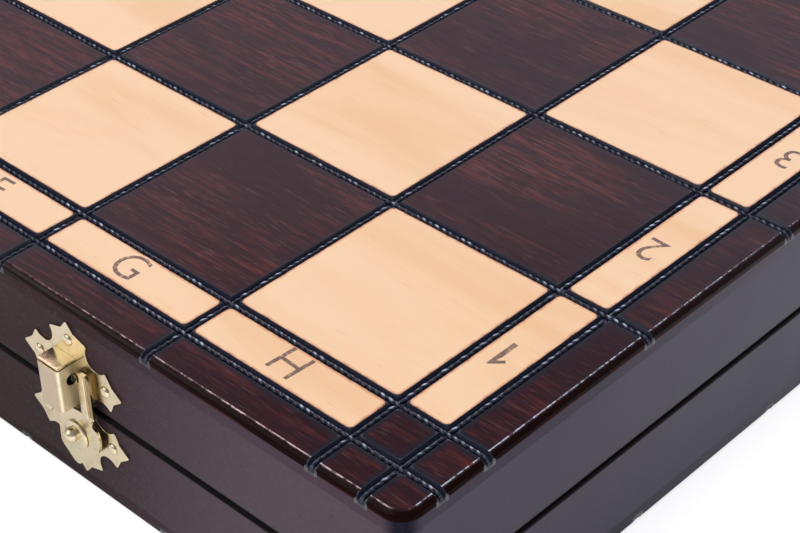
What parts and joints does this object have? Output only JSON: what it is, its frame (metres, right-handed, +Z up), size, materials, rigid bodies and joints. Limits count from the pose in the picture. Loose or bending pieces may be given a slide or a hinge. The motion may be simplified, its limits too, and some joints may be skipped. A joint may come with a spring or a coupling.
{
  "type": "folding chess box",
  "caption": "Shallow folding chess box whose lid and base are the two halves of a grooved board, with back hinges and swinging hook latches on the front.",
  "frame": {"origin": "middle of the closed box's footprint, on the surface that it rests on", "axes": "+X along the letters, from A to H; +Y from the latches to the hinges; +Z up, out of the lid"},
  "size_m": [0.36, 0.1898, 0.043],
  "materials": {
    "board_wood": "satin",
    "stained_wood": "satin",
    "brass": "polished",
    "felt": "matte"
  },
  "bodies": {
    "base": {"base_panel": "board_wood", "base_front_rail": "stained_wood", "base_back_rail": "stained_wood", "base_left_rail": "stained_wood", "base_right_rail": "stained_wood", "base_lining": "felt", "hinge_base_leaf_left": "brass", "hinge_pin_left": "brass", "hinge_base_leaf_right": "brass", "hinge_pin_right": "brass", "hinge_base_screws": "brass", "latch_base_plate_left": "brass", "latch_rivet_left": "brass", "latch_washer_left": "brass", "latch_base_plate_right": "brass", "latch_rivet_right": "brass", "latch_washer_right": "brass", "latch_base_nails": "brass"},
    "lid": {"lid_panel": "board_wood", "lid_front_rail": "stained_wood", "lid_back_rail": "stained_wood", "lid_left_rail": "stained_wood", "lid_right_rail": "stained_wood", "lid_lining": "felt", "hinge_lid_leaf_left": "brass", "hinge_lid_leaf_right": "brass", "hinge_lid_screws": "brass", "latch_lid_plate_left": "brass", "latch_keeper_left": "brass", "latch_lid_plate_right": "brass", "latch_keeper_right": "brass", "latch_lid_nails": "brass"},
    "hook_left": {"latch_hook_left": "brass"},
    "hook_right": {"latch_hook_right": "brass"}
  },
  "joints": [
    {"name": "lid_hinge", "type": "hinge", "parent": "base", "child": "lid", "pos_m": [0, 0.09175, 0.0215], "axis": [-1, 0, 0], "range_deg": [0, 180]},
    {"name": "hook_left_swing", "type": "hinge", "parent": "base", "child": "hook_left", "pos_m": [-0.09825, -0.0916, 0.0155], "axis": [0, 1, 0], "range_deg": [0, 100]},
    {"name": "hook_right_swing", "type": "hinge", "parent": "base", "child": "hook_right", "pos_m": [0.09975, -0.0916, 0.0155], "axis": [0, 1, 0], "range_deg": [0, 100]}
  ]
}
